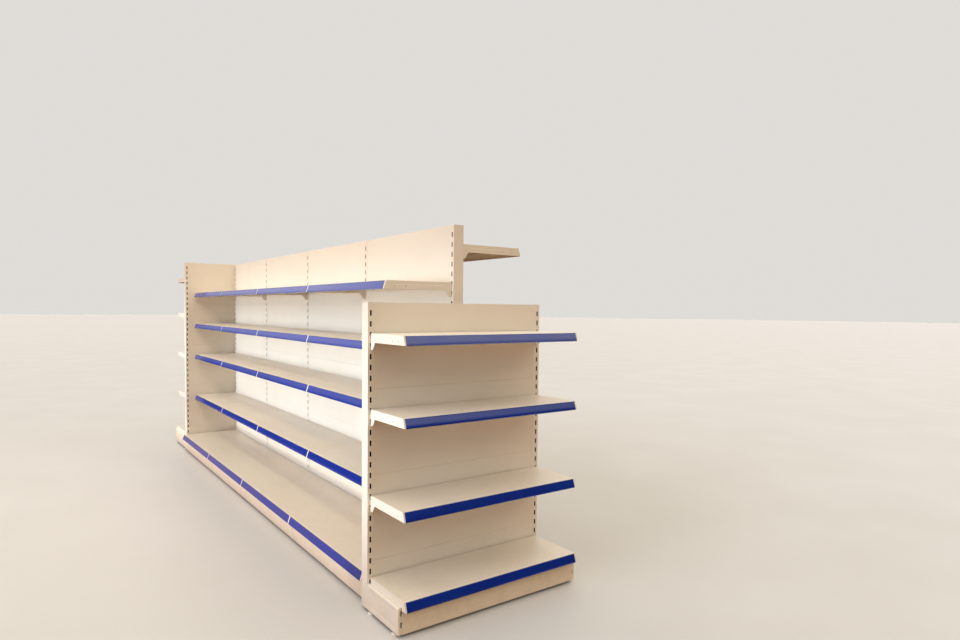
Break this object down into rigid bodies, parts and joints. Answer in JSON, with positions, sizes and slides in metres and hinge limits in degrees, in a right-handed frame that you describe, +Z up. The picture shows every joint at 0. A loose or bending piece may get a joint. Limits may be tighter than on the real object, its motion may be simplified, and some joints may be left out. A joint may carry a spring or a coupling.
{
  "type": "double-sided gondola shelving run",
  "caption": "Double-sided shop shelving run with slotted uprights, back panels, sloping-fronted shelves, plinths, ticket strips, a low end bay and a tall end bay.",
  "frame": {"origin": "centre of the bounding box in plan, at the floor that the levelling feet stand on", "axes": "+Y along the run from the low end bay to the tall end bay, +Z up, +X to the right when looking along +Y"},
  "size_m": [1.078, 4.994, 1.84],
  "materials": {
    "painted_steel": "satin cream powder coat",
    "ticket_strip": "royal blue strip behind a clear cover",
    "foot": "cream moulded plastic"
  },
  "bodies": {
    "root": {"near_end_uprights": "painted_steel", "near_end_front_panels": "painted_steel", "near_end_rear_panels": "painted_steel", "near_end_base_legs": "painted_steel", "near_end_plinth": "painted_steel", "near_end_base_shelf": "painted_steel", "near_end_shelf_low": "painted_steel", "near_end_shelf_middle": "painted_steel", "near_end_shelf_top": "painted_steel", "near_end_brackets": "painted_steel", "near_end_ticket_strips": "ticket_strip", "spine_uprights": "painted_steel", "spine_panels_left": "painted_steel", "spine_panels_right": "painted_steel", "levelling_feet": "foot", "left_base_legs": "painted_steel", "left_plinths": "painted_steel", "left_base_shelves": "painted_steel", "left_shelves_1": "painted_steel", "left_shelves_2": "painted_steel", "left_shelves_3": "painted_steel", "left_shelves_4": "painted_steel", "left_brackets": "painted_steel", "left_ticket_strips": "ticket_strip", "right_base_legs": "painted_steel", "right_plinths": "painted_steel", "right_base_shelves": "painted_steel", "right_shelves_1": "painted_steel", "right_shelves_2": "painted_steel", "right_shelves_3": "painted_steel", "right_shelves_4": "painted_steel", "right_brackets": "painted_steel", "right_ticket_strips": "ticket_strip", "far_end_uprights": "painted_steel", "far_end_front_panels": "painted_steel", "far_end_rear_panels": "painted_steel", "far_end_base_legs": "painted_steel", "far_end_plinth": "painted_steel", "far_end_base_shelf": "painted_steel", "far_end_shelf_1": "painted_steel", "far_end_shelf_2": "painted_steel", "far_end_shelf_3": "painted_steel", "far_end_shelf_4": "painted_steel", "far_end_brackets": "painted_steel", "far_end_ticket_strips": "ticket_strip"}
  },
  "joints": []
}
